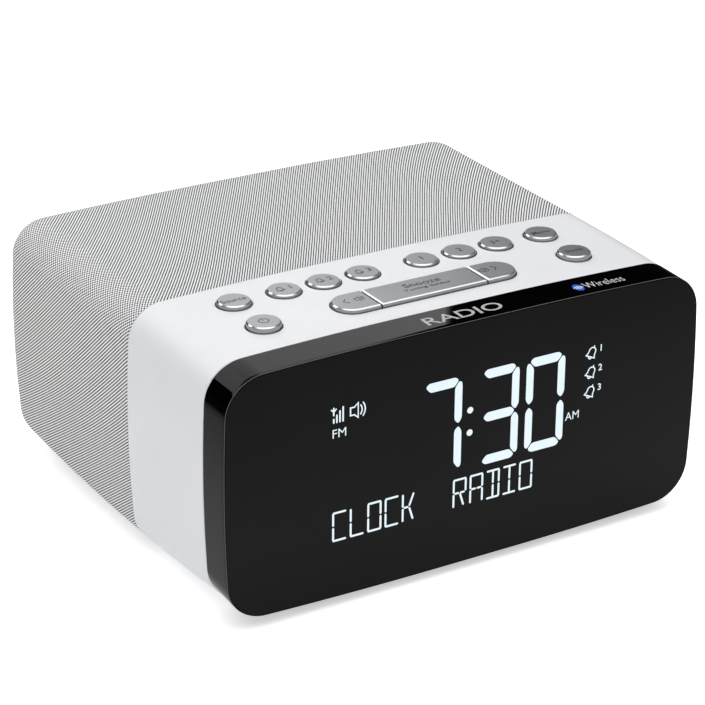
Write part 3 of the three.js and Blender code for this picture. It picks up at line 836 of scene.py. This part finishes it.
def lettering(name, text, box, lay, material, body="housing", weight=0.0):
    """Plain lettering fitted to a box (left, low, right, high); weight thickens the strokes. Where
    left and right are the same, the letters keep their own width about it."""
    curve = bpy.data.curves.new(name, "FONT")
    curve.body = text
    curve.resolution_u = 6
    curve.offset = weight
    draft = link(name + "_draft", curve)
    bpy.context.view_layer.update()
    flat = bpy.data.meshes.new_from_object(draft.evaluated_get(bpy.context.evaluated_depsgraph_get()))
    bpy.data.objects.remove(draft)
    left, low, right, high = box
    points = np.array([v.co[:2] for v in flat.vertices])
    least, most = points.min(0), points.max(0)
    if left == right:
        half = (most[0] - least[0]) / (most[1] - least[1]) * (high - low) / 2
        left, right = left - half, right + half
    work = bmesh.new()
    work.from_mesh(flat)
    bmesh.ops.remove_doubles(work, verts=work.verts, dist=1e-5)
    bpy.data.meshes.remove(flat)
    for vert in work.verts:
        s = [(vert.co[i] - least[i]) / (most[i] - least[i]) for i in (0, 1)]
        vert.co = (left + s[0] * (right - left), low + s[1] * (high - low), 0)
    sheet = work.faces[:]
    raised = bmesh.ops.extrude_face_region(work, geom=sheet)["geom"]
    top = {item for item in raised if isinstance(item, bmesh.types.BMVert)}
    for vert in work.verts:
        vert.co = lay(vert.co.x, vert.co.y, PROUD if vert in top else -PROUD)
    bmesh.ops.recalc_face_normals(work, faces=work.faces)
    mesh = bpy.data.meshes.new(name)
    work.to_mesh(mesh)
    work.free()
    piece = link(name, mesh)
    mesh.shade_flat()
    finish_piece(piece, material, body)


def rounded(points, radius, steps=4):
    """An outline with its corners rounded off."""
    outline = []
    count = len(points)
    for i in range(count):
        before, here, after = (Vector(points[(i + k) % count]) for k in (-1, 0, 1))
        into, out = (before - here), (after - here)
        reach = min(radius, into.length / 2, out.length / 2)
        start, end = here + into.normalized() * reach, here + out.normalized() * reach
        for k in range(steps + 1):
            t = k / steps
            p = start * (1 - t) ** 2 + here * 2 * t * (1 - t) + end * t**2
            outline.append((p.x, p.y))
    return outline


def edges_of(path, width, closed):
    """The two sides of a line of even width along a path."""
    left, right = [], []
    last = len(path) - 1
    for i, here in enumerate(path):
        before = path[i - 1] if closed or i > 0 else here * 2 - path[1]
        after = path[(i + 1) % len(path)] if closed or i < last else here * 2 - path[last - 1]
        into, out = (here - before).normalized(), (after - here).normalized()
        normal = Vector((-(into + out).y, (into + out).x)).normalized()
        side = normal * (width / 2 / max(normal.dot(Vector((-into.y, into.x))), 0.5))
        left.append(here + side)
        right.append(here - side)
    return left, right


def stroke(points, width, steps=5):
    """A line of even width through points, with round ends."""
    path = [Vector(p) for p in points]
    left, right = edges_of(path, width, closed=False)
    left += end_arc(path[-1], left[-1] - path[-1], steps)
    right = right[::-1]
    right += end_arc(path[0], right[-1] - path[0], steps)
    return [(p.x, p.y) for p in left + right]


def closed_stroke(points, width):
    """The outer and inner outline of a line of even width round a closed path."""
    sides = edges_of([Vector(p) for p in points], width, closed=True)
    return tuple([(p.x, p.y) for p in side] for side in sides)


def end_arc(centre, arm, steps):
    """The points inside a half turn, clockwise, from the end of arm to its other side."""
    turned_arms = []
    for i in range(1, steps):
        turn = -math.pi * i / steps
        turned_arms.append(centre + Matrix.Rotation(turn, 2) @ arm)
    return turned_arms


def arc_points(centre, radius, start, end, steps=12):
    turns = [math.radians(start + (end - start) * i / steps) for i in range(steps + 1)]
    return [(centre[0] + radius * math.cos(t), centre[1] + radius * math.sin(t)) for t in turns]


def moved(shapes, u, v, scale=1.0, turn=0.0):
    c, s = math.cos(math.radians(turn)) * scale, math.sin(math.radians(turn)) * scale

    def carry(outline):
        return [(u + c * x - s * y, v + s * x + c * y) for x, y in outline]

    return [tuple(map(carry, shape)) if isinstance(shape, tuple) else carry(shape) for shape in shapes]


# ---- display
DIGIT = {"width": 13.35, "low": 29.6, "middle": 44.45, "high": 59.3, "upright": 2.45, "level": 2.85}
SEGMENTS = {"7": "abc", "3": "abgcd", "0": "abcdef"}


def digit(character, right):
    """The lit segments of a seven-segment digit whose right edge is at a given x."""
    left = right - DIGIT["width"]
    low, mid, high = DIGIT["low"], DIGIT["middle"], DIGIT["high"]
    w, h = DIGIT["upright"], DIGIT["level"]
    tip, gap = 0.95, 0.35  # how far a corner is cut back, and the clear slit beside it

    def level_bar(outer, inner):
        """A horizontal bar, long on its outer edge, mitred towards its inner edge."""
        bend = outer + (inner - outer) * 0.36
        return [(left + tip + 0.2, bend), (left + tip + 1.3, outer), (right - tip - 1.3, outer),
                (right - tip - 0.2, bend), (right - w - 0.25, inner), (left + w + 0.25, inner)]

    def upright_bar(outer, inner, end, middle):
        """A vertical bar from the digit's end, mitred beside the end bar, to its middle tip."""
        sign = 1 if end > middle else -1
        ridge = outer + (inner - outer) * 0.45
        return [(inner, end - sign * (h + 0.35)), (ridge, end - sign * 1.45),
                (outer + (inner - outer) * 0.12, end - sign * 1.6),
                (outer, end - sign * 2.6), (outer, middle + sign * 2.0), (ridge, middle + sign * gap),
                (inner, middle + sign * 1.7)]

    bars = {
        "a": level_bar(high, high - h),
        "d": level_bar(low, low + h),
        "g": [(left + 1.3, mid), (left + 2.6, mid + h / 2), (right - 2.6, mid + h / 2),
              (right - 1.3, mid), (right - 2.6, mid - h / 2), (left + 2.6, mid - h / 2)],
        "b": upright_bar(right, right - w, high, mid),
        "c": upright_bar(right, right - w, low, mid),
        "f": upright_bar(left, left + w, high, mid),
        "e": upright_bar(left, left + w, low, mid),
    }
    return [rounded(bars[key], 0.75) for key in SEGMENTS[character]]


CELL = {"left": -45.6, "pitch": 5.68, "low": 18.35, "middle": 22.7, "high": 26.95, "stroke": 0.62}
LETTERS = {
    "C": "TBfe", "L": "Bfe", "O": "TBfebc", "K": "fegxy", "R": "Tfebghy", "A": "Tfebcgh",
    "D": "TBbcil", "I": "TBil", " ": "",
}


def letter_cell(character, left):
    """The lit strokes of one fourteen-segment cell."""
    low, mid, high = CELL["low"], CELL["middle"], CELL["high"]
    near, far, centre = left + 0.33, left + 4.37, left + 2.35
    gap = 0.5
    strokes = {
        "T": [(near + 0.15, high), (far - 0.15, high)],
        "B": [(near + 0.15, low), (far - 0.15, low)],
        "f": [(near, high - 0.3), (near, mid + gap)],
        "e": [(near, mid - gap), (near, low + 0.3)],
        "b": [(far, high - 0.3), (far, mid + gap)],
        "c": [(far, mid - gap), (far, low + 0.3)],
        "i": [(centre, high - 0.55), (centre, mid + gap)],
        "l": [(centre, mid - gap), (centre, low + 0.55)],
        "g": [(near + 0.55, mid), (centre - 0.45, mid)],
        "h": [(centre + 0.45, mid), (far - 0.55, mid)],
        "x": [(centre + 0.2, mid + gap), (far - 0.55, high - 0.45)],
        "y": [(centre + 0.2, mid - gap), (far - 0.75, low + 0.45)],
    }
    return [stroke(strokes[key], CELL["stroke"]) for key in LETTERS[character]]


def bell():
    """A bell about its own middle, upright, 3.6 high: body, rim, stub and clapper."""
    body = arc_points((0, 0.35), 1.05, 0, 180, 10)
    body = [(1.45, -1.3), (1.08, -0.5)] + body + [(-1.08, -0.5), (-1.45, -1.3)]
    parts = [closed_stroke(body, 0.34)]
    parts.append(stroke([(0, 1.4), (0, 1.85)], 0.34))
    parts.append(stroke(arc_points((0, -1.35), 0.5, 190, 350, 8), 0.34))
    return parts


def loudspeaker():
    """A loudspeaker about its own middle, 4.6 high, with two waves."""
    box = [(-2.4, 1.15), (-1.15, 1.15), (0.05, 2.2), (0.05, -2.2), (-1.15, -1.15), (-2.4, -1.15)]
    parts = [closed_stroke(box, 0.42)]
    parts.append(stroke(arc_points((-0.9, 0), 2.2, -38, 38, 10), 0.4))
    parts.append(stroke(arc_points((-0.9, 0), 3.2, -38, 38, 10), 0.4))
    return parts


def display_marks():
    time = []
    for character, right in (("7", -3.4), ("3", 15.9), ("0", 31.7)):
        time += digit(character, right)
    for height in (48.0, 41.0):
        time.append(arc_points((-0.6, height), 1.0, 0, 345, 23))
    relief("time_digits", time, on_face, lit_white)
    line = []
    for i, character in enumerate("CLOCK  RADIO"):
        line += letter_cell(character, CELL["left"] + i * CELL["pitch"])
    relief("text_line", line, on_face, lit_white)
    lettering("am_mark", "AM", (32.5, 36.65, 37.3, 39.15), on_face, lit_white, weight=-0.004)
    lettering("band_mark", "FM", (-45.5, 50.1, -41.2, 52.65), on_face, lit_white, weight=-0.004)
    aerial = [stroke([(-45.15, 57.05), (-45.15, 59.15)], 0.46)]
    aerial.append(stroke([(-45.9, 58.75), (-45.15, 58.05), (-44.4, 58.75)], 0.4))
    for i, top in enumerate((55.8, 56.85, 57.95, 58.95)):
        x = -45.15 + 0.985 * i
        aerial.append(stroke([(x, 54.75), (x, top)], 0.5))
    relief("signal_mark", aerial, on_face, lit_white)
    relief("sound_mark", moved(loudspeaker(), -37.45, 56.85), on_face, lit_white)
    alarms = []
    for height in (56.5, 50.3, 44.1):
        alarms += moved(bell(), 41.05, height, scale=1.1, turn=-24)
    relief("alarm_marks", alarms, on_face, lit_white)
    for i, height in enumerate((57.3, 51.15, 44.9)):
        box = (44.25, height - 1.05, 44.25, height + 1.05)
        lettering(f"alarm_number_{i + 1}", str(i + 1), box, on_face, lit_white, weight=0.012)


# ---- printed marks
def word(name, text, x, depth, width, height, line=""):
    """Lettering on a cap, centred; a width of 0 keeps the letters' own."""
    box = (x - width / 2, depth - height / 2, x + width / 2, depth + height / 2)
    lettering("legend_" + name + line, text, box, on_caps, ink, body=name, weight=0.002)


def button_legends():
    word("button_source", "Source", -52.5, 43.3, 7.8, 2.1)
    word("button_menu", "Menu", 52.1, 43.3, 5.9, 2.1)
    word("button_sleep", "Sleep", 52.1, 26.0, 6.0, 2.3)
    word("button_preset_1", "1", 10.1, 43.8, 0, 2.5)
    word("button_preset_2", "2", 23.3, 43.7, 0, 2.4)
    word("button_preset_3", "3+", 36.0, 43.7, 3.1, 2.4)
    word("key_snooze", "Snooze", 0.0, 27.7, 12.2, 2.6)
    word("key_snooze", "Tuning Select", 0.1, 24.5, 15.4, 1.7, line="_small")
    for i, name in enumerate(("button_alarm_1", "button_alarm_2", "button_alarm_3")):
        x = plan_centre(name)[0]
        relief("mark_" + name, moved(bell(), x - 1.2, 43.7, scale=0.8), on_caps, ink, body=name)
        word(name, str(i + 1), x + 2.2, 43.8, 0, 2.4)
    ring_arc = arc_points((-52.2, 26.2), 1.45, 115, 425, 28)
    power = [stroke(ring_arc, 0.3), stroke([(-52.2, 26.5), (-52.2, 28.1)], 0.3)]
    relief("legend_button_power", power, on_caps, ink, body="button_power")
    quieter = moved(loudspeaker(), -21.3, 26.5, scale=0.62)
    quieter.append(stroke([(-25.2, 28.0), (-26.4, 26.55), (-25.2, 25.1)], 0.3))
    relief("legend_key_volume_down", quieter, on_caps, ink, body="key_volume_down")
    louder = moved(loudspeaker(), 20.6, 26.6, scale=0.62)
    louder.append(stroke([(23.7, 28.1), (24.9, 26.65), (23.7, 25.2)], 0.3))
    relief("legend_key_volume_up", louder, on_caps, ink, body="key_volume_up")


def band_marks():
    lettering("front_word", "RADIO", (-13.0, 3.0, 12.5, 7.8), on_band, pale_ink, weight=0.008)
    oval = [(1.6 * math.cos(t), 2.2 * math.sin(t)) for t in np.linspace(0, 2 * math.pi, 33)[:-1]]
    relief("wireless_badge", moved([oval], 38.85, 5.1), on_band, blue_ink)
    waves = [stroke(arc_points((0, -1.0), r, 40, 140, 10), 0.36) for r in (0.75, 1.55, 2.35)]
    relief("wireless_waves", moved(waves, 38.85, 4.6, scale=0.85), on_badge, white_ink)
    lettering("wireless_word", "Wireless", (41.0, 3.5, 54.6, 7.0), on_band, white_ink, weight=-0.016)


def on_badge(x, depth, level):
    return on_band(x, depth, level + 0.02)


ink = moulded("ink", (0x2A2B2D, 0x323335), (0.4, 0.5), bump=0.0)
pale_ink = moulded("pale_ink", (0xB0B0B0, 0xB8B8B8), (0.35, 0.45), bump=0.0)
white_ink = moulded("white_ink", (0xF0F0F0, 0xF6F6F6), (0.4, 0.5), bump=0.0)
blue_ink = moulded("blue_ink", (0x0A50C8, 0x1060DC), (0.3, 0.4), bump=0.0)
lit_white = lit("lit_white", 0xE0F3FC, 1.0)


# ---- stage
DOME_LOW = 0.52
DOME_HIGH = 1.75
DOME_TURN = 44.0  # the elevation where the dome goes from low to high
FAR_SIDE, FAR_SIDE_SPAN, FAR_SIDE_HEAD = 0.23, (-100.0, 110.0), 56.0
CARD = 1.75
CARD_LEFT = 2.6  # the card's left half leans in: it is brighter and its foot is higher
CARD_BEND = 5.0
LEFT_FOOT = 25.5
CARD_START, CARD_EDGE = -48.0, 34.07
CARD_FOOT, CARD_HEAD = 18.5, 42.0
DARK = 0.01
DARK_START, DARK_EDGE = -75.0, 56.0


def world_light():
    """A studio dome, with angles in degrees from straight behind the radio, clockwise from above:
    bright overhead, dim lower down behind and at both sides, with a tall bright card behind, and
    dark under the card and beside it. The card and the dark show in the bezel's top and corner."""
    world = bpy.data.worlds.new("studio")
    bpy.context.scene.world = world
    world.use_nodes = True
    tree = world.node_tree
    tree.nodes.clear()
    direction = node(tree, "TexCoord", {}).outputs["Generated"]
    axes = node(tree, "SeparateXYZ", {0: direction})
    azimuth = maths(tree, "ARCTAN2", axes.outputs[0], axes.outputs[1])

    def ramp(value, start, end):
        return node(tree, "MapRange", {0: value, 1: start, 2: end, 3: 0.0, 4: 1.0}).outputs[0]

    def window(start, end, soft_start, soft_end):
        """1 inside an azimuth window, 0 outside."""
        rise = ramp(azimuth, math.radians(start - soft_start), math.radians(start + soft_start))
        fall = ramp(azimuth, math.radians(end + soft_end), math.radians(end - soft_end))
        return both(rise, fall)

    def above(angle, soft):
        start, end = (math.sin(math.radians(angle + side * soft)) for side in (-1, 1))
        return ramp(axes.outputs[2], start, end)

    def below(angle, soft):
        return above(angle, -soft)

    def both(mask_a, mask_b):
        return maths(tree, "MULTIPLY", mask_a, mask_b)

    def patch(base, mask_a, mask_b, level):
        """The level where both masks hold, and the base elsewhere."""
        return node(tree, "Mix", {0: both(mask_a, mask_b), 2: base, 3: level}).outputs[0]

    dome = node(tree, "Mix", {0: above(DOME_TURN, 8), 2: DOME_LOW, 3: DOME_HIGH}).outputs[0]
    level = patch(dome, window(*FAR_SIDE_SPAN, 15, 15), below(FAR_SIDE_HEAD, 5), FAR_SIDE)
    card = both(above(CARD_FOOT, 0.4), below(CARD_HEAD, 3))
    level = patch(level, window(CARD_START, CARD_EDGE, 3, 0.1), card, CARD)
    level = patch(level, window(CARD_START, CARD_BEND, 3, 12), card, CARD_LEFT)
    level = patch(level, window(DARK_START, CARD_EDGE, 8, 0.1), below(CARD_FOOT, 0.4), DARK)
    level = patch(level, window(DARK_START, CARD_BEND, 8, 6), below(LEFT_FOOT, 0.4), DARK)
    level = patch(level, window(CARD_EDGE, DARK_EDGE, 0.1, 5), below(CARD_HEAD, 4), DARK)
    # The camera itself sees plain white beyond the floor.
    camera_ray = node(tree, "LightPath", {}).outputs["Is Camera Ray"]
    shown = node(tree, "Mix", {0: camera_ray, 2: level, 3: 1.0}).outputs[0]
    background = node(tree, "Background", {"Color": (1.0, 1.0, 1.0, 1), "Strength": shown})
    node(tree, "OutputWorld", {0: background.outputs[0]})


FLOOR_HALF = 12.0  # metres
FLOOR_LIFT = 0.13  # the board glows a little from below, as a light table does
FLOOR_SHOWN = 0.5  # the glow as the camera sees it, which keeps the ground plain white
NEAR_EDGE, FAR_EDGE = 0.05, 0.33  # metres over which the board drops out of polished reflections


def floor():
    """A pale board. To the camera it glows more than it does to the radio, and polished surfaces see
    it fade to black with distance, so it stands for a small lit table in a dark room."""
    mesh = bpy.data.meshes.new("floor")
    corners = [(sx * FLOOR_HALF, sy * FLOOR_HALF, 0) for sx, sy in ((-1, -1), (1, -1), (1, 1), (-1, 1))]
    mesh.from_pydata(corners, [], [(0, 1, 2, 3)])
    piece = link("floor", mesh)
    material, tree, shader = material_nodes("floor")
    where = node(tree, "TexCoord", {}).outputs["Object"]
    mottle = spread(tree, noise_texture(tree, where, 3.0), 0, 1)
    colour = blend_colours(tree, mottle, (0.93, 0.93, 0.93, 1), (0.95, 0.95, 0.95, 1))
    rays = node(tree, "LightPath", {}).outputs
    lift = node(tree, "Mix", {0: rays["Is Camera Ray"], 2: FLOOR_LIFT, 3: FLOOR_SHOWN}).outputs[0]
    connect(tree, shader, {"Base Color": colour, "Emission Color": (1.0, 1.0, 1.0, 1),
                           "Emission Strength": lift, "Roughness": 0.95, "Specular IOR Level": 0.1})
    reach = {0: rays["Ray Length"], 1: NEAR_EDGE, 2: FAR_EDGE, 3: 0.0, 4: 0.97}
    far = node(tree, "MapRange", reach).outputs[0]
    fading = maths(tree, "MULTIPLY", far, rays["Is Glossy Ray"])
    dark = node(tree, "Emission", {"Strength": 0.0}).outputs[0]
    seen = node(tree, "MixShader", {0: fading, 1: shader.outputs[0], 2: dark}).outputs[0]
    tree.links.new(seen, tree.get_output_node("ALL").inputs[0])
    mesh.materials.append(material)


CAMERA_AT = (-359.06, -602.87, 354.96)  # millimetres, row frame
CAMERA_HEADING = -31.03
CAMERA_PITCH = -24.105
CAMERA_ROLL = 0.36
CAMERA_LENS = 128.8
CAMERA_SHIFT = (-0.0038, 0.0018)


def camera():
    data = bpy.data.cameras.new("camera")
    piece = link("camera", data)
    data.lens = CAMERA_LENS
    data.sensor_width = 36
    data.shift_x, data.shift_y = CAMERA_SHIFT
    data.clip_start = 0.05
    data.clip_end = 40
    aim = Matrix.Rotation(math.radians(CAMERA_HEADING), 4, "Z")
    aim = aim @ Matrix.Rotation(math.radians(90 + CAMERA_PITCH), 4, "X")
    aim = aim @ Matrix.Rotation(math.radians(CAMERA_ROLL), 4, "Z")
    piece.matrix_world = Matrix.Translation([c * MM for c in CAMERA_AT]) @ aim
    bpy.context.scene.camera = piece


# ---- the whole scene
def finish_cad_nodes():
    """Gives each CAD node that still shows its slot's material."""
    slot_of = {part["node"]: part["material_slot"] for part in frame["record"]["subparts"]}
    for name, cad_node in frame["nodes"].items():
        if not cad_node.hide_render:
            cad_node.data.materials.clear()
            cad_node.data.materials.append(SLOT_MATERIALS[slot_of[name]])


camera()
world_light()
floor()
front_lens()
front_bezel()
front_shell()
for button in BUTTON_NAMES:
    round_cap(button)
for key in KEY_NAMES:
    key_cap(key)
fabric_wrap()
rear_panel()
sockets()
base_plate()
for rubber_foot in FEET:
    foot(rubber_foot)
display_marks()
button_legends()
band_marks()
finish_cad_nodes()

bpy.context.scene.view_settings.view_transform = "Standard"
bpy.context.view_layer.update()
